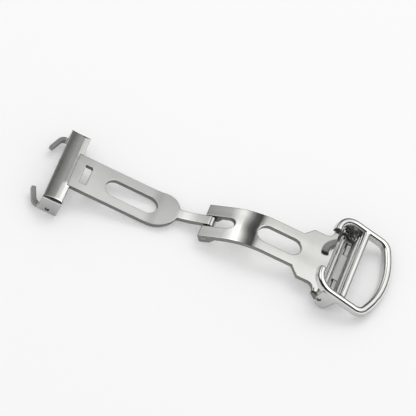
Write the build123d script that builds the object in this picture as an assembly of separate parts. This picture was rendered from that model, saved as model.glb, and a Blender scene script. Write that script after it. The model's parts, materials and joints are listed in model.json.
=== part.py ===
from build123d import *
import os
from math import atan2, cos, degrees, radians, sin, tan

# Deployant clasp for a watch strap, opened flat on a table. Millimetres.
# +X runs from the strap bracket to the buckle, +Y across the strap, +Z up.
# Each blade is drawn in its own frame, with X along it, Z square to it and the fold pin on the Y axis.
# The buckle frame is drawn level about its own pivot pin, as it lies when the clasp is closed.

# Strap, sheet and fits
strap_width = 18.0
strap_play = 0.35
sheet = 0.95
blade_width = 9.5
running_gap = 0.03
side_gap = 0.08
closed_gap = 0.20
edge_break = 0.10
edge_round = 0.12
facing_share = 0.5
overrun = 40.0

# Fold hinge
fold_pin_d = 1.1
knuckle_r = 1.15
tongue_width = 2.5
tongue_gap = 0.30
eye_r = 0.95
eye_front = 1.20
eye_back = 2.60
eye_heel = 1.20
eye_corner = 0.40

# Outer blade
outer_rise = 5.37
outer_ramp_deg = 28.5
outer_bend_r = 20.0
fork_slot_end = 4.95
outer_slot_start = 10.05
outer_slot_end = 20.35
slot_width = 4.50
shoulder_start = 19.65
shoulder_run = 1.90
wing_step = 0.60
flare_r = 1.70
flare_back = 1.27
outer_end = 27.07

# Lugs at the outer blade's end, measured outwards from it and up or down from its flat
lug_gap = 0.10
lug_bend_r = 0.70
lug_foot_out = 0.03
lug_foot_drop = 2.00
lug_toe_out = 1.23
lug_right_out = 3.70
lug_right_drop = 1.50
lug_shoulder_up = 0.20
lug_eye_r = 1.05

# Inner blade
nose_ramp_deg = 18.0
tongue_ramp_deg = 24.0
inner_bend_r = 9.2
tongue_bend_r = 30.0
tongue_bend_x = 4.50
nose_centre = 11.58
nose_fillet = 0.60
inner_slot_start = 11.68
inner_slot_end = 24.05
hook_slot_start = 28.05
hook_slot_end = 29.75
hook_slot_width = 5.10
hook_slot_corner = 0.35
blade_let_in = 0.70

# Strap bracket
bracket_start = 31.15
bracket_length = 4.50
bracket_bend_r = 1.00
crown_left = 3.30
crown_left_deg = 10.0
crown_right = 1.20
crown_right_deg = 12.0
ear_depth = 4.95
ear_corner = 0.40
seam_gap = 0.05
claw_height = 1.10
claw_out = 1.10
claw_bend_r = 1.55
claw_lean_deg = 21.0
claw_reach = 4.10

# Spring bar
bar_setback = 2.36
bar_above_foot = 1.00
bar_d = 1.50
bar_wall = 0.20
tip_d = 0.95
tip_hole_gap = 0.04
tip_flange = 0.40
tip_travel = 1.00
tip_stem_d = 1.02
tip_stem_inside = 2.20
tip_recess = 0.30
coil_wall = 0.20

# Buckle frame, measured from its pivot, which stands out past the outer blade's end and above its flat
pivot_out = 0.83
pivot_up = 0.80
pivot_pin_d = 1.00
pin_end_recess = 0.30
frame_top = 4.05
rail_height = 1.85
rail_width = 1.65
rail_round = 0.70
rail_edge = 0.12
arm_left = 3.80
arm_end_y = 5.70
arm_width = 1.75
arm_corner_r = 4.40
arm_inner_r = 2.75
bow_apex = 12.45
bow_r = 20.5
bow_width = 1.85
bow_corner_r = 3.20
bow_inner_r = 1.60
frame_ear_left = 0.85
frame_ear_right = 3.05
frame_ear_foot = 1.80
frame_ear_foot_left = -0.10
frame_ear_foot_right = 2.35
frame_ear_round = 0.45
centre_bar_left = 2.85
centre_bar_width = 1.50
centre_bar_height = 1.20
centre_bar_drop = 0.15
centre_bar_round = 0.50
strap_bar_x = 2.68
strap_bar_z = 1.98
strap_bar_d = 0.90
strap_bar_neck_d = 0.60
strap_bar_neck = 0.60

# Clamp channel between the lugs, set by the outer blade's end and flat. Its pin and windows are
# measured from its left side.
clamp_out = 1.43
clamp_width = 2.17
clamp_floor_up = 0.35
clamp_sheet = 0.40
clamp_lip = 0.55
clamp_lip_sheet = 0.30
clamp_end_gap = 0.25
clamp_pin_in = 0.55
clamp_pin_drop = 0.58
clamp_pin_d = 0.80
clamp_barrel_wall = 0.30
clamp_barrel_length = 4.80
window_in = 0.35
window_width = 1.30
window_inner = 3.70
window_end_wall = 0.85

# How the opened clasp lies, with both blades stopped in one line
droop_deg = 14.4

# Sizes worked out from the ones above
ear_inside = strap_width / 2 + strap_play
bracket_half = ear_inside + sheet
frame_half = ear_inside + rail_width
lug_outside = ear_inside - lug_gap
lug_inside = lug_outside - sheet
wing_half = lug_outside - wing_step - flare_r
wing_end = outer_end - flare_back - flare_r
lug_foot_x = outer_end + lug_foot_out
lug_toe_x = outer_end + lug_toe_out
lug_right_x = outer_end + lug_right_out
pivot_x = outer_end + pivot_out
lug_foot_z = outer_rise - lug_foot_drop
lug_right_z = outer_rise - lug_right_drop
lug_shoulder_z = outer_rise + lug_shoulder_up
pivot_z = outer_rise + pivot_up
clamp_floor_top = outer_rise + clamp_floor_up
clamp_pin_z = outer_rise - clamp_pin_drop
clamp_left = outer_end + clamp_out
clamp_right = clamp_left + clamp_width
clamp_pin_x = clamp_left + clamp_pin_in
window_left = clamp_left + window_in
clamp_half_length = lug_inside - clamp_end_gap
window_outer = clamp_half_length - window_end_wall
inner_drop = outer_rise - sheet - closed_gap - sheet
ear_foot = inner_drop + ear_depth
bracket_end = bracket_start + bracket_length
bar_x = bracket_start + bar_setback
bar_z = ear_foot - bar_above_foot
tongue_slot = tongue_width + 2 * tongue_gap
blade_half = blade_width / 2
outer_ramp = radians(outer_ramp_deg)
nose_ramp = radians(nose_ramp_deg)
tongue_ramp = radians(tongue_ramp_deg)


def side_plate(outline, half_width):
    """A plate that spans the strap's width, from its outline in the XZ plane."""
    return extrude(Plane.XZ * make_face(outline), amount=half_width, both=True)


def plan_column(outline):
    """A tall column with the given outline in plan, for trimming and cutting."""
    return extrude(outline, amount=overrun, both=True)


def cross_pin(diameter, y_from, y_to, x, z):
    """A round pin, or the cutter for its bore, that runs across the strap."""
    middle = Location((x, (y_from + y_to) / 2, z), (90, 0, 0))
    return middle * Cylinder(diameter / 2, y_to - y_from)


def end_rims(piece):
    """The round edges at the two ends of a piece that runs across the strap."""
    rims = piece.edges().filter_by(GeomType.CIRCLE).sort_by(Axis.Y)
    return [rims[0], rims[-1]]


def both_sides(shape):
    """The shape and its mirror image across the strap's middle."""
    return [shape, mirror(shape, Plane.XZ)]


def arc_between(centre, radius, start_deg, end_deg):
    """An arc about a centre, from one angle to another."""
    angles = (start_deg, (start_deg + end_deg) / 2, end_deg)
    points = [(centre[0] + radius * cos(radians(a)), centre[1] + radius * sin(radians(a))) for a in angles]
    return ThreePointArc(*points)


def crest_edges(piece):
    """Edges along which a face that looks up meets an upright wall."""
    tops = [face for face in piece.faces() if face.normal_at(face.center()).Z > facing_share]
    walls = [face for face in piece.faces() if abs(face.normal_at(face.center()).Z) < facing_share]
    return ShapeList(edge for face in tops for edge in face.edges()) & ShapeList(
        edge for face in walls for edge in face.edges()
    )


def ramp_point(along, above, ramp):
    """A point beside the fold axis, measured along a blade's ramp and square to it."""
    return (along * cos(ramp) - above * sin(ramp), along * sin(ramp) + above * cos(ramp))


def sheet_outline(corners, radii):
    """Side outline of a bent sheet, from its top line's corners, left to right, and each bend's radius."""
    headings = [atan2(end[1] - start[1], end[0] - start[0]) for start, end in zip(corners, corners[1:])]
    sides = [headings[0], *headings, headings[-1]]
    under = []
    for (x, z), before, after in zip(corners, sides, sides[1:]):
        middle = (before + after) / 2
        depth = sheet / cos((after - before) / 2)
        under.append((x + depth * sin(middle), z - depth * cos(middle)))
    turns = [1 if after > before else -1 for before, after in zip(headings, headings[1:])]
    under_radii = [radius + turn * sheet for radius, turn in zip(radii, turns)]
    top = FilletPolyline(*corners, radius=radii)
    low = FilletPolyline(*under, radius=under_radii)
    return [top, low, Line(top @ 0, low @ 0), Line(top @ 1, low @ 1)]


def make_outer_blade():
    """Forked, arched blade with a long slot, a wing and two lugs bent down at its end."""
    start = ramp_point(0, eye_r, outer_ramp)
    bend_x = start[0] + (outer_rise - start[1]) / tan(outer_ramp)
    outline = sheet_outline([start, (bend_x, outer_rise), (outer_end, outer_rise)], [outer_bend_r])
    flare_top = wing_half + flare_r
    wing_x = shoulder_start + shoulder_run
    flare_x = wing_end + flare_r
    half = [
        Line((-overrun, 0), (-overrun, blade_half)),
        Line((-overrun, blade_half), (shoulder_start, blade_half)),
        Line((shoulder_start, blade_half), (wing_x, wing_half)),
        Line((wing_x, wing_half), (wing_end, wing_half)),
        arc_between((wing_end, flare_top), flare_r, -90, 0),
        Line((flare_x, flare_top), (flare_x, lug_outside)),
        Line((flare_x, lug_outside), (outer_end, lug_outside)),
        Line((outer_end, lug_outside), (outer_end, 0)),
        Line((outer_end, 0), (-overrun, 0)),
    ]
    plan = make_face(half)
    plan += mirror(plan, Plane.XZ)
    blade = side_plate(outline, lug_outside) & plan_column(plan)

    block = [
        ramp_point(-eye_front, eye_r, outer_ramp),
        ramp_point(eye_back, eye_r, outer_ramp),
        ramp_point(eye_back, eye_r - sheet, outer_ramp),
        ramp_point(eye_heel, -eye_r, outer_ramp),
        ramp_point(-eye_front, -eye_r, outer_ramp),
    ]
    eye_face = make_face(Polyline(*block, close=True))
    low_corners = eye_face.vertices().sort_by(Axis.Y)[:2]
    blade += extrude(Plane.XZ * fillet(low_corners, eye_corner), amount=blade_half, both=True)

    long_slot = Pos((outer_slot_start + outer_slot_end) / 2, 0) * SlotOverall(
        outer_slot_end - outer_slot_start, slot_width
    )
    fork_slot = Pos((fork_slot_end - overrun) / 2, 0) * SlotOverall(fork_slot_end + overrun, tongue_slot)
    blade -= plan_column(long_slot)
    blade -= plan_column(fork_slot)

    bends = [
        edge
        for edge in blade.edges().filter_by(Axis.X)
        if abs(edge.center().Z - outer_rise) < edge_break and abs(edge.center().Y) > lug_outside - edge_break
    ]
    blade = fillet(bends, lug_bend_r)
    blade = fillet(crest_edges(blade), edge_round)

    bend_foot = outer_rise - lug_bend_r
    lug_outline = Polyline(
        (flare_x, bend_foot),
        (lug_foot_x, lug_foot_z),
        (lug_toe_x, lug_foot_z),
        (lug_right_x, lug_right_z),
        (lug_right_x, lug_shoulder_z),
        (pivot_x + lug_eye_r, pivot_z),
        (pivot_x, pivot_z),
        (pivot_x - lug_eye_r, bend_foot),
        close=True,
    )
    lug = extrude(Plane.XZ * make_face(lug_outline), amount=sheet)
    lug += cross_pin(2 * lug_eye_r, -sheet, 0, pivot_x, pivot_z)
    for side in both_sides(Pos(0, -lug_inside, 0) * lug):
        blade += side

    blade -= cross_pin(fold_pin_d, -blade_half, blade_half, 0, 0)
    blade -= cross_pin(pivot_pin_d + 2 * running_gap, -lug_outside, lug_outside, pivot_x, pivot_z)
    blade -= cross_pin(clamp_pin_d, -lug_outside, lug_outside, clamp_pin_x, clamp_pin_z)
    return blade


def make_inner_blade():
    """Flat blade with two slots, a half-round nose and a tongue rolled round the fold pin."""
    blade_end = -(bracket_start + blade_let_in)
    start = ramp_point(0, knuckle_r, tongue_ramp)
    tongue_z = start[1] - (start[0] + tongue_bend_x) * tan(tongue_ramp)
    bend_x = -tongue_bend_x - (tongue_z + inner_drop) / tan(nose_ramp)
    corners = [(blade_end, -inner_drop), (bend_x, -inner_drop), (-tongue_bend_x, tongue_z), start]
    outline = sheet_outline(corners, [inner_bend_r, tongue_bend_r])
    body = Pos((blade_end - nose_centre) / 2, 0) * Rectangle(-blade_end - nose_centre, blade_width)
    nose = Pos(-nose_centre, 0) * Circle(blade_half)
    tongue = Pos(-nose_centre / 2, 0) * Rectangle(nose_centre, tongue_width)
    plan = body + nose + tongue
    necks = [v for v in plan.vertices() if -nose_centre < v.X < -tongue_width and abs(v.Y) < blade_half]
    plan = fillet(necks, nose_fillet)
    blade = side_plate(outline, blade_half) & plan_column(plan)

    long_slot = Pos(-(inner_slot_start + inner_slot_end) / 2, 0) * SlotOverall(
        inner_slot_end - inner_slot_start, slot_width
    )
    hook_slot = Pos(-(hook_slot_start + hook_slot_end) / 2, 0) * Rectangle(
        hook_slot_end - hook_slot_start, hook_slot_width
    )
    right_corners = hook_slot.vertices().sort_by(Axis.X)[2:]
    hook_slot = fillet(right_corners, hook_slot_corner)
    blade -= plan_column(long_slot)
    blade -= plan_column(hook_slot)
    blade = fillet(crest_edges(blade), edge_round)
    blade += cross_pin(2 * knuckle_r, -tongue_width / 2, tongue_width / 2, 0, 0)
    blade -= cross_pin(fold_pin_d + 2 * running_gap, -tongue_width, tongue_width, 0, 0)
    return blade


def make_claw():
    """One claw, in plan beside the near ear, before it is set to its height."""
    ear_middle = ear_inside + sheet / 2
    lean = radians(claw_lean_deg)
    corner_x = -(bracket_end + claw_out)
    tip = (corner_x - claw_reach * sin(lean), -(ear_middle - claw_reach * cos(lean)))
    path = FilletPolyline((-bracket_end, -ear_middle), (corner_x, -ear_middle), tip, radius=claw_bend_r)
    start = Plane(origin=(-bracket_end, -ear_middle, 0), x_dir=(0, 1, 0), z_dir=(-1, 0, 0))
    return sweep(start * Rectangle(sheet, claw_height), path=path)


def crown_face():
    """Side outline of the cross plate, with its two long edges rolled down a little and rounded off."""
    left, right = -bracket_end, -bracket_start
    top, low = -inner_drop, -ear_foot
    left_r = crown_left / sin(radians(crown_left_deg))
    right_r = crown_right / sin(radians(crown_right_deg))
    left_roll = arc_between((left + crown_left, top - left_r), left_r, 90 + crown_left_deg, 90)
    right_roll = arc_between((right - crown_right, top - right_r), right_r, 90, 90 - crown_right_deg)
    outline = [
        left_roll,
        Line(left_roll @ 1, right_roll @ 0),
        right_roll,
        Line(right_roll @ 1, (right, low)),
        Line((right, low), (left, low)),
        Line((left, low), left_roll @ 0),
    ]
    face = make_face(outline)
    ends = face.vertices().group_by(Axis.X)
    corners = [ends[0].sort_by(Axis.Y)[-1], ends[-1].sort_by(Axis.Y)[-1]]
    return fillet(corners, edge_round)


def make_strap_bracket():
    """Cross plate with its ends bent down into ears, each with a pin hole and a claw."""
    top = -inner_drop
    foot = -ear_foot
    outer_box = Rectangle(2 * bracket_half, ear_depth)
    outer_box = fillet(outer_box.vertices().sort_by(Axis.Y)[2:], bracket_bend_r)
    inner_box = Pos(0, -sheet) * Rectangle(2 * ear_inside, ear_depth)
    inner_box = fillet(inner_box.vertices().sort_by(Axis.Y)[2:], bracket_bend_r - sheet + edge_break)
    section = Plane.YZ * Pos(0, (top + foot) / 2) * (outer_box - inner_box)
    bracket = Pos(-bracket_end, 0, 0) * extrude(section, amount=bracket_length)

    bracket &= extrude(Plane.XZ * crown_face(), amount=bracket_half, both=True)
    feet = bracket.edges().filter_by(Axis.Y).sort_by(Axis.Z)[:4]
    bracket = fillet(feet.sort_by(Axis.X)[2:], ear_corner)

    notch_width = blade_width + 2 * seam_gap
    notch = Pos(-bracket_start, 0, top) * Box(2 * blade_let_in, notch_width, 2 * (sheet + seam_gap))
    bracket -= notch
    claw = Pos(0, 0, foot + claw_height / 2) * make_claw()
    for side in both_sides(claw):
        bracket += side
    bracket -= cross_pin(tip_d + 2 * tip_hole_gap, -bracket_half, bracket_half, -bar_x, -bar_z)
    return bracket


tube_half = ear_inside - side_gap - tip_flange - tip_travel - side_gap
stem_end = tube_half - tip_stem_inside


def make_spring_bar_tube():
    """Thin barrel of the spring bar."""
    barrel = cross_pin(bar_d, -tube_half, tube_half, -bar_x, -bar_z)
    return barrel - cross_pin(bar_d - 2 * bar_wall, -tube_half, tube_half, -bar_x, -bar_z)


def make_spring_bar_tip():
    """Near tip of the spring bar: stem in the barrel, flange at the ear, point in the ear's hole."""
    flange_face = ear_inside - side_gap
    stem = cross_pin(tip_stem_d, -flange_face, -stem_end, -bar_x, -bar_z)
    flange = cross_pin(bar_d, -flange_face, -flange_face + tip_flange, -bar_x, -bar_z)
    point = cross_pin(tip_d, -bracket_half + tip_recess, -flange_face, -bar_x, -bar_z)
    tip = stem + flange + point
    return chamfer(end_rims(tip), edge_break)


def make_spring_bar_coil():
    """Sleeve that holds the place of the coil hidden in the barrel."""
    outside = bar_d - 2 * bar_wall - 2 * running_gap
    sleeve = cross_pin(outside, -stem_end, stem_end, -bar_x, -bar_z)
    return sleeve - cross_pin(outside - 2 * coil_wall, -stem_end, stem_end, -bar_x, -bar_z)


def make_fold_pin():
    """Pin pressed into the fork, on which the knuckle turns."""
    pin = cross_pin(fold_pin_d, -blade_half, blade_half, 0, 0)
    return chamfer(end_rims(pin), edge_break)


def frame_outline(half, left, arm_r, bow_apex_x, apex_r, corner_r):
    """Closed plan of the buckle frame's outside or inside, all in one loop of lines and arcs."""
    centre_x = bow_apex_x - apex_r
    # The corner arc touches both the rail's line and the bow's arc from inside.
    corner_y = half - corner_r
    reach = apex_r - corner_r
    corner_x = centre_x + (reach**2 - corner_y**2) ** 0.5
    touch_deg = degrees(atan2(corner_y, corner_x - centre_x))
    arm_centre = (left + arm_r, half - arm_r)
    upper = [
        Line((left, 0), (left, half - arm_r)),
        arc_between(arm_centre, arm_r, 180, 90),
        Line((left + arm_r, half), (corner_x, half)),
        arc_between((corner_x, corner_y), corner_r, 90, touch_deg),
        arc_between((centre_x, 0), apex_r, touch_deg, 0),
        Line((bow_apex_x, 0), (left, 0)),
    ]
    face = make_face(upper)
    return face + mirror(face, Plane.XZ)


def make_buckle_frame():
    """Open frame: arms curled inwards, rails with ears, a centre bar and a bowed right side."""
    outside = frame_outline(frame_half, -arm_left, arm_corner_r, bow_apex, bow_r, bow_corner_r)
    inside = frame_outline(
        ear_inside, -arm_left + arm_width, arm_inner_r, bow_apex - bow_width, bow_r - bow_width, bow_inner_r
    )
    mouth = Pos(-arm_left, 0) * Rectangle(2 * arm_corner_r, 2 * arm_end_y)
    ring = outside - inside - mouth
    bottom = frame_top - rail_height
    frame = Pos(0, 0, bottom) * extrude(ring, amount=rail_height)
    top_edges = [
        edge
        for edge in frame.faces().sort_by(Axis.Z)[-1].edges()
        if abs(abs(edge.center().Y) - arm_end_y) > edge_break or edge.center().X > 0
    ]
    frame = fillet(top_edges, rail_round)
    low_edges = frame.faces().sort_by(Axis.Z)[0].edges()
    frame = fillet(low_edges, rail_edge)

    ear_outline = Polyline(
        (-frame_ear_left, bottom + rail_height / 2),
        (-frame_ear_left, 0),
        (-frame_ear_foot_left, -frame_ear_foot),
        (frame_ear_foot_right, -frame_ear_foot),
        (frame_ear_right, bottom),
        (frame_ear_right, bottom + rail_height / 2),
        close=True,
    )
    ear_face = make_face(ear_outline)
    low = ear_face.vertices().sort_by(Axis.Y)[:2]
    ear_face = fillet(low, frame_ear_round)
    ear = extrude(Plane.XZ * ear_face, amount=rail_width)
    for side in both_sides(Pos(0, -ear_inside, 0) * ear):
        frame += side

    bar_top = frame_top - centre_bar_drop
    bar_section = RectangleRounded(centre_bar_width, centre_bar_height, centre_bar_round)
    bar_section = Pos(centre_bar_left + centre_bar_width / 2, bar_top - centre_bar_height / 2) * bar_section
    frame += extrude(Plane.XZ * bar_section, amount=ear_inside + rail_width / 2, both=True)
    frame -= cross_pin(pivot_pin_d + 2 * running_gap, -frame_half, frame_half, 0, 0)
    neck_reach = ear_inside + strap_bar_neck + side_gap
    frame -= cross_pin(strap_bar_neck_d, -neck_reach, neck_reach, strap_bar_x, strap_bar_z)
    return frame


def make_frame_pivot_pin():
    """Thin bright pin through the lugs and the frame's ears."""
    reach = frame_half - pin_end_recess
    return chamfer(end_rims(cross_pin(pivot_pin_d, -reach, reach, 0, 0)), edge_break)


def make_strap_bar():
    """Slim bar beside the centre bar, necked into blind holes in the rails."""
    shoulder = ear_inside - side_gap
    neck_end = ear_inside + strap_bar_neck
    bar = cross_pin(strap_bar_d, -shoulder, shoulder, strap_bar_x, strap_bar_z)
    return bar + cross_pin(strap_bar_neck_d, -neck_end, neck_end, strap_bar_x, strap_bar_z)


def make_clamp_channel():
    """Shallow channel with two lips, a barrel on its pin and two windows over the pin's bare stretches."""
    middle_x = (clamp_left + clamp_right) / 2
    floor_bottom = clamp_floor_top - clamp_sheet
    lip_height = clamp_lip + clamp_sheet
    floor = Box(clamp_width, 2 * clamp_half_length, clamp_sheet)
    channel = Pos(middle_x, 0, clamp_floor_top - clamp_sheet / 2) * floor
    for lip_x in (clamp_left + clamp_lip_sheet / 2, clamp_right - clamp_lip_sheet / 2):
        lip = Box(clamp_lip_sheet, 2 * clamp_half_length, lip_height)
        channel += Pos(lip_x, 0, floor_bottom + lip_height / 2) * lip
    channel = fillet(channel.edges().filter_by(Axis.Y).group_by(Axis.Z)[0], clamp_sheet / 2)

    window = Pos(window_left + window_width / 2, -(window_inner + window_outer) / 2, clamp_floor_top) * Box(
        window_width, window_outer - window_inner, 2 * clamp_sheet + edge_break
    )
    for side in both_sides(window):
        channel -= side

    bore_d = clamp_pin_d + 2 * running_gap
    half_barrel = clamp_barrel_length / 2
    channel += cross_pin(bore_d + 2 * clamp_barrel_wall, -half_barrel, half_barrel, clamp_pin_x, clamp_pin_z)
    return channel - cross_pin(bore_d, -clamp_half_length, clamp_half_length, clamp_pin_x, clamp_pin_z)


def make_clamp_pin():
    """Polished pin of the channel, pressed into the lugs."""
    pin = cross_pin(clamp_pin_d, -lug_outside, lug_outside, clamp_pin_x, clamp_pin_z)
    return chamfer(end_rims(pin), edge_break)


# The opened clasp is stiff at its stop. It lies on the feet of the bracket's ears and on the tip of the bow.
droop_place = Pos(pivot_x, 0, pivot_z) * Rot(0, droop_deg, 0)
foot_point = Pos(-bracket_start, 0, -ear_foot)
bow_point = droop_place * Pos(bow_apex, 0, frame_top - rail_height)
rise = bow_point.position.Z - foot_point.position.Z
pitch_deg = degrees(atan2(rise, bow_point.position.X - foot_point.position.X))
blade_place = Rot(0, pitch_deg, 0)
frame_place = blade_place * droop_place

tip = make_spring_bar_tip()
pieces = {
    "strap_bracket": blade_place * make_strap_bracket(),
    "inner_blade": blade_place * make_inner_blade(),
    "spring_bar_tube": blade_place * make_spring_bar_tube(),
    "spring_bar_coil": blade_place * make_spring_bar_coil(),
    "spring_bar_tip_near": blade_place * tip,
    "spring_bar_tip_far": blade_place * mirror(tip, Plane.XZ),
    "fold_pin": blade_place * make_fold_pin(),
    "outer_blade": blade_place * make_outer_blade(),
    "clamp_channel": blade_place * make_clamp_channel(),
    "clamp_pin": blade_place * make_clamp_pin(),
    "frame_pivot_pin": frame_place * make_frame_pivot_pin(),
    "buckle_frame": frame_place * make_buckle_frame(),
    "strap_bar": frame_place * make_strap_bar(),
}

# The origin is the middle of the whole clasp's box, on the table.
boxes = [piece.bounding_box() for piece in pieces.values()]
low_x = min(box.min.X for box in boxes)
high_x = max(box.max.X for box in boxes)
low_z = min(box.min.Z for box in boxes)
high_z = max(box.max.Z for box in boxes)
shift = Pos(-(low_x + high_x) / 2, 0, -low_z)

os.makedirs("parts", exist_ok=True)
for name, piece in pieces.items():
    export_step(shift * piece, f"parts/{name}.step")

fold_axis = shift.position
frame_axis = (shift * frame_place).position
clamp_axis = (shift * blade_place * Pos(clamp_pin_x, 0, clamp_pin_z)).position
spring_bar_axis = (shift * blade_place * Pos(-bar_x, 0, -bar_z)).position
print("pitch of the blades", round(pitch_deg, 3))
print("length", high_x - low_x, "height", high_z - low_z)
print("fold pin at", fold_axis, "frame pivot at", frame_axis)
print("clamp pin at", clamp_axis, "spring bar at", spring_bar_axis)
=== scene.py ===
import json
from math import cos, radians, sin

import bpy
from mathutils import Matrix, Vector


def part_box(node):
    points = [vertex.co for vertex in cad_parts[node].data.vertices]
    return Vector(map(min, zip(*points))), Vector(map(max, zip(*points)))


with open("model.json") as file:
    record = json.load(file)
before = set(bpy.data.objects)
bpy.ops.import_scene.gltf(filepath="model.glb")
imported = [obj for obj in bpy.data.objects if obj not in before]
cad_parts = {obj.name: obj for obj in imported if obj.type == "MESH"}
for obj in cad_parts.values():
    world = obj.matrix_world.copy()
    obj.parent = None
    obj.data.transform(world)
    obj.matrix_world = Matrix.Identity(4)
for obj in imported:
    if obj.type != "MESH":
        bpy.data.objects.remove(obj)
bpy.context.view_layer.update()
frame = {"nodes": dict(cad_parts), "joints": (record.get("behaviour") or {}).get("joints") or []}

scene = bpy.context.scene
scene.view_settings.view_transform = "Standard"

# Camera. It stands high on the near side and looks down on the opened clasp through a long lens, rolled a
# little, so that the clasp runs from the upper left to the lower right of the picture. The sensor's width
# is in millimetres, and all other lengths are in metres.
azimuth, elevation, roll = radians(8.23), radians(50.53), radians(12.51)
distance = 1.333
nearest_seen, farthest_seen = 0.05, 20.0
view_width = 0.09109
picture_pixels = 416
pixels_right, pixels_down = 5.35, 17.65
middle_height = 0.002
sensor_width = 36.0

back = Vector((sin(azimuth) * cos(elevation), -cos(azimuth) * cos(elevation), sin(elevation)))
level_right = Vector((0, 0, 1)).cross(back).normalized()
level_up = back.cross(level_right)
right = level_right * cos(roll) + level_up * sin(roll)
up = level_up * cos(roll) - level_right * sin(roll)
turn = Matrix((right, up, back)).transposed().to_4x4()
pixel = view_width / picture_pixels
target = Vector((0, 0, middle_height)) - right * pixels_right * pixel + up * pixels_down * pixel

camera = bpy.data.objects.new("camera", bpy.data.cameras.new("camera"))
camera.data.sensor_width = sensor_width
camera.data.lens = sensor_width * distance / view_width
camera.data.clip_start, camera.data.clip_end = nearest_seen, farthest_seen
camera.matrix_world = Matrix.Translation(target + back * distance) @ turn
scene.collection.objects.link(camera)
scene.camera = camera

# Studio. A white tent with a dark gap in its far wall and a dark side over the camera, above a grey near
# wall: polished steel shows these as its light and dark bands. Every other ray sees it plain and even.
tent_tint = (1.0, 1.0, 0.98)
brightest = 2.1
roof_start, roof_dark, roof_bright = 0.35, 0.03, 1.65
dark_side_start, dark_side_full, dark_side_level = -0.02, -0.30, 0.02
near_wall_start, near_wall_full, near_wall_level = 0.70, 0.90, 0.26
even_level = 0.80
pure_white = (1.0, 1.0, 1.0, 1.0)

# The far wall from left to right: each place is the sideways part of a direction, each level a brightness.
far_wall = [
    (-1.00, 0.60), (-0.70, 0.90), (-0.58, 1.00), (-0.50, 1.20), (-0.40, 1.43), (-0.34, 1.28), (-0.26, 0.66),
    (-0.21, 0.36), (-0.14, 0.12), (-0.05, 0.05), (0.00, 0.33), (0.05, 0.66), (0.12, 0.74), (0.19, 0.78),
    (0.29, 0.94), (0.36, 1.29), (0.58, 2.05), (0.75, 1.60), (1.00, 1.00),
]


class Socket:
    """A shader socket that can be used in sums, so that node maths reads as plain maths."""

    def __init__(self, tree, link=None):
        self.tree = tree
        self.link = link

    def node(self, kind, settings=None, inputs=None, output=0):
        """Adds a node, sets what it is told to, feeds its sockets and gives back one of its outputs."""
        made = self.tree.nodes.new(kind)
        for name, value in (settings or {}).items():
            if name == "stops":
                elements = made.color_ramp.elements
                while len(elements) < len(value):
                    elements.new(1.0)
                for element, (place, colour) in zip(elements, value):
                    element.position = place
                    element.color = (*colour, 1.0)
            else:
                setattr(made, name, value)
        for name, value in (inputs or {}).items():
            if isinstance(value, Socket):
                self.tree.links.new(value.link, made.inputs[name])
            else:
                made.inputs[name].default_value = value
        return Socket(self.tree, made.outputs[output] if made.outputs else None)

    def maths(self, operation, *others):
        """One Math node, with this socket as its first value."""
        return self.node("ShaderNodeMath", {"operation": operation}, dict(enumerate((self,) + others)))

    def __add__(self, other):
        return self.maths("ADD", other)

    def __sub__(self, other):
        return self.maths("SUBTRACT", other)

    def __mul__(self, other):
        return self.maths("MULTIPLY", other)

    def __rsub__(self, other):
        return self * -1.0 + other

    __radd__ = __add__
    __rmul__ = __mul__

    def rise(self, low, high):
        """Rises smoothly from 0 at low to 1 at high."""
        limits = {"Value": self, "From Min": low, "From Max": high}
        return self.node("ShaderNodeMapRange", {"interpolation_type": "SMOOTHSTEP"}, limits)

    def parts(self):
        """The X, Y and Z of a vector."""
        return [self.node("ShaderNodeSeparateXYZ", None, {0: self}, axis) for axis in "XYZ"]


world = bpy.data.worlds.new("studio")
scene.world = world
world.use_nodes = True
world.node_tree.nodes.clear()
tent = Socket(world.node_tree)
across, far, above = tent.node("ShaderNodeTexCoord", output="Generated").parts()

stops = [((place + 1) / 2, [level / brightest * share for share in tent_tint]) for place, level in far_wall]
wall = tent.node("ShaderNodeValToRGB", {"stops": stops}, {"Fac": across * 0.5 + 0.5})
roof_limits = {"From Min": roof_start, "From Max": 1.0, "To Min": roof_dark, "To Max": roof_bright}
roof = tent.node("ShaderNodeMapRange", None, {"Value": above, **roof_limits})
lit_side = dark_side_level + (1.0 - dark_side_level) * far.rise(dark_side_full, dark_side_start)
near_wall = near_wall_level * (far * -1.0).rise(near_wall_start, near_wall_full)
strength = roof * lit_side * brightest + near_wall

room = tent.node("ShaderNodeBackground", None, {"Color": wall, "Strength": strength})
even = tent.node("ShaderNodeBackground", None, {"Color": pure_white, "Strength": even_level})
white = tent.node("ShaderNodeBackground", None, {"Color": pure_white, "Strength": 1.0})
glossy_ray = tent.node("ShaderNodeLightPath", output="Is Glossy Ray")
camera_ray = tent.node("ShaderNodeLightPath", output="Is Camera Ray")
lit = tent.node("ShaderNodeMixShader", None, {0: glossy_ray, 1: even, 2: room})
seen = tent.node("ShaderNodeMixShader", None, {0: camera_ray, 1: lit, 2: white})
tent.node("ShaderNodeOutputWorld", None, {"Surface": seen})

# One wide soft lamp on the far side throws the pale shadow towards the camera. No steel mirrors it.
lamp_place = Vector((0.10, 0.45, 0.75))
lamp_width, lamp_power = 0.6, 1.5

lamp = bpy.data.objects.new("soft_lamp", bpy.data.lights.new("soft_lamp", "AREA"))
lamp.data.shape = "DISK"
lamp.data.size = lamp_width
lamp.data.energy = lamp_power
lamp.location = lamp_place
lamp.rotation_mode = "QUATERNION"
lamp.rotation_quaternion = lamp_place.to_track_quat("Z", "Y")
lamp.visible_glossy = False
scene.collection.objects.link(lamp)

# Table. One wide sheet of white paper, which lies under the clasp. Eye and steel see it nearer to white
# than the light alone makes it, and its shadows stay.
table_width = 4.0
paper_white, paper_roughness = 0.985, 0.9
whitening_to_eye, whitening_in_steel = 0.16, 0.10

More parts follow.
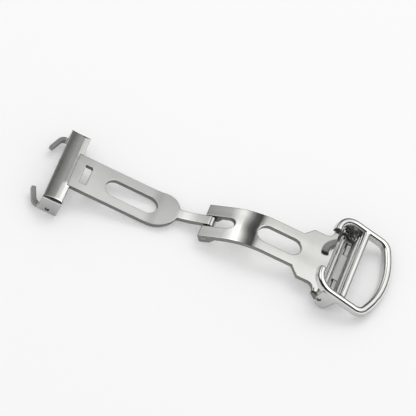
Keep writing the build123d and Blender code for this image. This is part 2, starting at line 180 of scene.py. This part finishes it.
bpy.ops.object.select_all(action="DESELECT")
bpy.ops.mesh.primitive_plane_add(size=table_width)
table = bpy.context.object
table.name = "table"
paper = bpy.data.materials.new("white_paper")
paper.use_nodes = True
paper_shader = paper.node_tree.nodes["Principled BSDF"]
paper_shader.inputs["Base Color"].default_value = (paper_white, paper_white, paper_white, 1.0)
paper_shader.inputs["Roughness"].default_value = paper_roughness
paper_shader.inputs["Specular IOR Level"].default_value = 0.0
sheet = Socket(paper.node_tree)
plain = Socket(paper.node_tree, paper_shader.outputs[0])
glow = sheet.node("ShaderNodeEmission", None, {"Color": pure_white, "Strength": 1.0})
seen_by_eye = sheet.node("ShaderNodeLightPath", output="Is Camera Ray")
seen_in_steel = sheet.node("ShaderNodeLightPath", output="Is Glossy Ray")
whitening = seen_by_eye * whitening_to_eye + seen_in_steel * whitening_in_steel
paper_seen = sheet.node("ShaderNodeMixShader", None, {0: whitening, 1: plain, 2: glow})
paper.node_tree.links.new(paper_seen.link, paper.node_tree.nodes["Material Output"].inputs["Surface"])
table.data.materials.append(paper)

# Strap bracket. The cross plate with its ears and claws, stamped from stainless sheet, bent, then polished.
# Its two long edges roll down a little, the right one further on the near side. The sheared edges and the
# claws are rougher and darkened with painted shade, and the ears about half as much.
dull_roughness, buffed_roughness = 0.42, 0.14
edge_samples = 8
edge_limits = (0.84, 0.995)

# Every steel here has a fine cloud, and rolling lines that run along the clasp. Both vary its colour, its
# roughness or its height a little.
cloud_scale, cloud_detail, cloud_height = 260.0, 4.0, 2e-6
cloud_low, cloud_high = 0.3, 0.7
deep_share, pale_share = 0.95, 1.03
line_scale, line_detail = 9000.0, 2.0
line_run = (0.06, 1.0, 1.0)
cloud_in_roughness, lines_in_roughness = 0.4, 0.3


def steel(
    name, tint, roughness, grain=0.0, dull_and_shaded=None, relief=None, buffed=None, edge=0.00024, painted_shade_share=0.38
):
    """Stainless steel with rolling lines as deep as its grain. dull(place, facing) masks what is
    rougher and darkened with painted shade, keeping painted_shade_share of the tint; relief(place) gives a
    height, and buffed(place) masks what is polished further. Every sharp edge is broken to the radius
    edge, made rougher and darkened with painted shade."""
    material = bpy.data.materials.new(name)
    material.use_nodes = True
    tree = material.node_tree
    shader = tree.nodes["Principled BSDF"]
    start = Socket(tree)
    place = start.node("ShaderNodeTexCoord", output="Object")
    facing = start.node("ShaderNodeTexCoord", output="Normal")

    cloud_inputs = {"Vector": place, "Scale": cloud_scale, "Detail": cloud_detail}
    cloud = start.node("ShaderNodeTexNoise", None, cloud_inputs)
    stretched = start.node("ShaderNodeMapping", None, {"Vector": place, "Scale": line_run})
    line_inputs = {"Vector": stretched, "Scale": line_scale, "Detail": line_detail}
    lines = start.node("ShaderNodeTexNoise", None, line_inputs)
    deep = [share * deep_share for share in tint]
    pale = [min(1.0, share * pale_share) for share in tint]
    tints = {"stops": [(cloud_low, deep), (cloud_high, pale)]}
    colour = start.node("ShaderNodeValToRGB", tints, {"Fac": cloud})
    cloud_share, line_share = cloud_in_roughness * roughness, lines_in_roughness * roughness
    rough = (cloud - 0.5) * cloud_share + (lines - 0.5) * line_share + roughness
    height = (lines - 0.5) * grain + (cloud - 0.5) * cloud_height

    # An edge is broken where the bevelled normal leaves the face's own. Broken edges, and what dull marks,
    # are made rougher and darkened with painted shade. In the colour mix, sockets 6 and 7 and output 2 are
    # the ones for colours.
    broken = start.node("ShaderNodeBevel", {"samples": edge_samples}, {"Radius": edge})
    level = start.node("ShaderNodeNewGeometry", output="Normal")
    both = {0: broken, 1: level}
    agreement = start.node("ShaderNodeVectorMath", {"operation": "DOT_PRODUCT"}, both, "Value")
    mask = 1.0 - agreement.rise(*edge_limits)
    if dull_and_shaded:
        mask = mask.maths("MAXIMUM", dull_and_shaded(place.parts(), facing.parts()))
    grey = (*[share * painted_shade_share for share in tint], 1.0)
    colour = start.node("ShaderNodeMix", {"data_type": "RGBA"}, {0: mask, 6: colour, 7: grey}, 2)
    rough = rough + mask * (dull_roughness - roughness)
    if buffed:
        rough = rough + buffed(place.parts()) * (buffed_roughness - roughness)
    if relief:
        height = height + relief(place.parts())
    bump = start.node("ShaderNodeBump", None, {"Height": height, "Distance": 1.0, "Normal": broken})

    shader.inputs["Metallic"].default_value = 1.0
    for socket, value in (("Base Color", colour), ("Roughness", rough), ("Normal", bump)):
        tree.links.new(value.link, shader.inputs[socket])
    return material


def dress(material, *names):
    """Gives the named pieces one finish."""
    for name in names:
        node = frame["nodes"][name]
        node.data.materials.clear()
        node.data.materials.append(material)


def joint(name):
    """The joint of that name, as the frame has it."""
    return next(each for each in frame["joints"] if each["name"] == name)


# Both blades lie at one slope. Places along them are measured from the fold pin, towards the buckle, and
# each curve is the change of slope over a metre.
blade_pitch = radians(10.61)
fold_pin = Vector(joint("fold_hinge")["pos_m"])
blade_half_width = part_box("inner_blade")[1].y

bracket_tint = (0.78, 0.78, 0.775)
end_facing = (0.75, 0.95)
ear_facing, ear_share = (0.93, 0.99), 0.55
claw_root, claw_blend = -0.03579, 0.0002
plate_lowest, plate_curve = -0.03499, 34.0
roll_start, roll_skew, roll_curve = -0.03279, 0.05, 150.0
roll_side = (blade_half_width - 0.00075, blade_half_width + 0.00045)
crown_start, crown_flattening = -0.03244, 160.0
crown_side = (blade_half_width - 0.00105, blade_half_width + 0.00005)


def along_blades(place):
    """Distance along the blades from the fold pin."""
    return (place[0] - fold_pin.x) * cos(blade_pitch) - (place[2] - fold_pin.z) * sin(blade_pitch)


def bend(distance, curve):
    """Height that a curve gains over a distance from where it starts."""
    return distance * distance * (0.5 * curve)


def bracket_dull_and_shaded(place, facing):
    """Rougher and darkened with painted shade: the claws, the sheared edges that look along the clasp
    and, about half as much, the ears.
    """
    edges = facing[0].maths("ABSOLUTE").rise(*end_facing)
    claws = 1.0 - along_blades(place).rise(claw_root - claw_blend, claw_root)
    ears = facing[1].maths("ABSOLUTE").rise(*ear_facing) * ear_share
    return edges.maths("MAXIMUM", claws).maths("MAXIMUM", ears)


def bracket_relief(place):
    """The press leaves the plate hollow along its middle and flat behind the blade, and rolls its right
    edge down on the near side of the blade."""
    along = along_blades(place)
    hollow = bend(along - plate_lowest, plate_curve)
    past_roll = (along - roll_start - place[1] * roll_skew).maths("MAXIMUM", 0.0)
    roll = bend(past_roll, roll_curve) * (place[1] * -1.0).rise(*roll_side)
    past_crown = (along - crown_start).maths("MAXIMUM", 0.0)
    flat = bend(past_crown, crown_flattening) * (1.0 - place[1].maths("ABSOLUTE").rise(*crown_side))
    return hollow - roll + flat


bracket_finish = steel(
    "polished_bracket", bracket_tint, roughness=0.13, grain=1e-7, dull_and_shaded=bracket_dull_and_shaded, relief=bracket_relief
)
dress(bracket_finish, "strap_bracket")

# Inner blade. Stamped from the same sheet, with a rectangular slot and a long one, and a tongue that is
# rolled round the fold pin. It is let into the bracket's notch and brazed, and has a fine satin finish.
inner_tint = (0.74, 0.745, 0.735)
shear_facing = (0.50, 0.80)
tongue_start, tongue_steepening = -0.00769, 14.0
rub_blend = 0.001
brazed_end, brazed_curve = -0.02789, 25.0
inner_crown = 11.0


def shaded_sheared_walls(place, facing):
    """The walls that the press cuts, which look sideways. They are rougher and darkened with painted shade.
    """
    return 1.0 - facing[2].maths("ABSOLUTE").rise(*shear_facing)


def inner_relief(place):
    """The tongue steepens towards the knuckle, the brazed end bends into the plate, and the whole is
    crowned."""
    along = along_blades(place)
    past = (along - tongue_start).maths("MAXIMUM", 0.0)
    short = (brazed_end - along).maths("MAXIMUM", 0.0)
    return bend(past, tongue_steepening) - bend(short, brazed_curve) - bend(place[1], inner_crown)


def tongue_rubbed(place):
    """The tongue rubs against the fork, which polishes it."""
    return along_blades(place).rise(tongue_start, tongue_start + rub_blend)


inner_finish = steel(
    "satin_inner_blade", inner_tint, roughness=0.43, grain=3e-7,
    dull_and_shaded=shaded_sheared_walls, relief=inner_relief, buffed=tongue_rubbed, painted_shade_share=0.31,
)
dress(inner_finish, "inner_blade")

# Spring bar. A drawn barrel with a coil inside, and two turned tips that snap into the ears' holes.
drawn_tint, turned_tint = (0.72, 0.72, 0.71), (0.70, 0.70, 0.70)
drawn_finish = steel("drawn_steel", drawn_tint, roughness=0.25, grain=2e-7)
turned_finish = steel("turned_steel", turned_tint, roughness=0.18, grain=1e-7)
dress(drawn_finish, "spring_bar_tube", "spring_bar_coil")
dress(turned_finish, "spring_bar_tip_near", "spring_bar_tip_far")

# Fold pin. A polished pin, pressed into the fork of the outer blade, with its ends ground off flush. The
# ends are rougher and darkened with painted shade.
polished_tint = (0.84, 0.84, 0.83)
pin_end_facing = (0.80, 0.95)


def ground_and_shaded_ends(place, facing):
    """The flat ends, which look across the clasp: rougher and darkened with painted shade."""
    return facing[1].maths("ABSOLUTE").rise(*pin_end_facing)


dress(steel("polished_fold_pin", polished_tint, roughness=0.10, dull_and_shaded=ground_and_shaded_ends), "fold_pin")

# Outer blade. Stamped, arched and polished until its flat mirrors the frame above it. Its ramp steepens
# towards the fold pin, from which its places are measured level.
outer_tint = (0.84, 0.845, 0.82)
ramp_end, ramp_steepening = 0.0084, 6.0
outer_crown = 7.0
pucker_place, pucker_reach = 0.0091, 0.002
pucker_half_width, pucker_tilt = 0.0034, 0.030


def outer_relief(place):
    """The ramp steepens evenly from the bend to the fold pin, the whole is crowned, and the bend is
    puckered where the slot begins."""
    from_pin = place[0] - fold_pin.x
    short = (ramp_end - from_pin).maths("MAXIMUM", 0.0)
    near_bend = (from_pin - pucker_place).maths("MAXIMUM", -pucker_reach).maths("MINIMUM", pucker_reach)
    middle = 1.0 - place[1].maths("ABSOLUTE").rise(0.0, pucker_half_width)
    pucker = near_bend * middle * pucker_tilt
    return (bend(short, ramp_steepening) + bend(place[1], outer_crown) + pucker) * -1.0


outer_finish = steel(
    "polished_outer_blade", outer_tint, roughness=0.07,
    dull_and_shaded=shaded_sheared_walls, relief=outer_relief, painted_shade_share=0.31,
)
dress(outer_finish, "outer_blade")

# Clamp channel. A bent strip of satin sheet between the lugs, with two windows over its own pin. Its tint
# is darker than the blades', as painted shade in the recess between the lugs. The pin stays smooth and
# light along its top, and its sides are rougher and darkened with painted shade.
channel_tint = (0.55, 0.55, 0.545)
unshaded_top_facing = (0.93, 0.99)


def shaded_pin_sides(place, facing):
    """All of the pin that does not look straight up: rougher and darkened with painted shade."""
    return 1.0 - facing[2].rise(*unshaded_top_facing)


channel_finish = steel("satin_channel", channel_tint, roughness=0.26, grain=2e-7)
clamp_pin_finish = steel("clamp_pin_shaded_sides", polished_tint, roughness=0.07, dull_and_shaded=shaded_pin_sides, painted_shade_share=0.12)
dress(channel_finish, "clamp_channel")
dress(clamp_pin_finish, "clamp_pin")

# Buckle frame. Cast, then polished on top, with its pivot pin through both ears. Its underside and, less
# strongly, its upright walls are rougher and darkened with painted shade. It droops from the blades by the
# angle that it tilts back when the clasp is closed.
frame_pitch = blade_pitch + radians(joint("frame_tilt")["range_deg"][1])
under_facing = (-0.75, -0.35)
upright_facing, upright_share = (0.15, 0.40), 0.4


def frame_dull_and_shaded(place, facing):
    """The unpolished underside and, less so, the upright walls: rougher and darkened with painted shade."""
    level = facing[0] * sin(frame_pitch) + facing[2] * cos(frame_pitch)
    walls = 1.0 - level.maths("ABSOLUTE").rise(*upright_facing)
    return (1.0 - facing[2].rise(*under_facing)).maths("MAXIMUM", walls * upright_share)


frame_finish = steel("polished_frame", polished_tint, roughness=0.08, dull_and_shaded=frame_dull_and_shaded, edge=0.0004)
dress(frame_finish, "buckle_frame")
dress(steel("polished_pivot_pin", polished_tint, roughness=0.07), "frame_pivot_pin")

# Strap bar. A slim turned bar beside the centre bar, necked into the rails.
dress(steel("polished_strap_bar", polished_tint, roughness=0.08), "strap_bar")
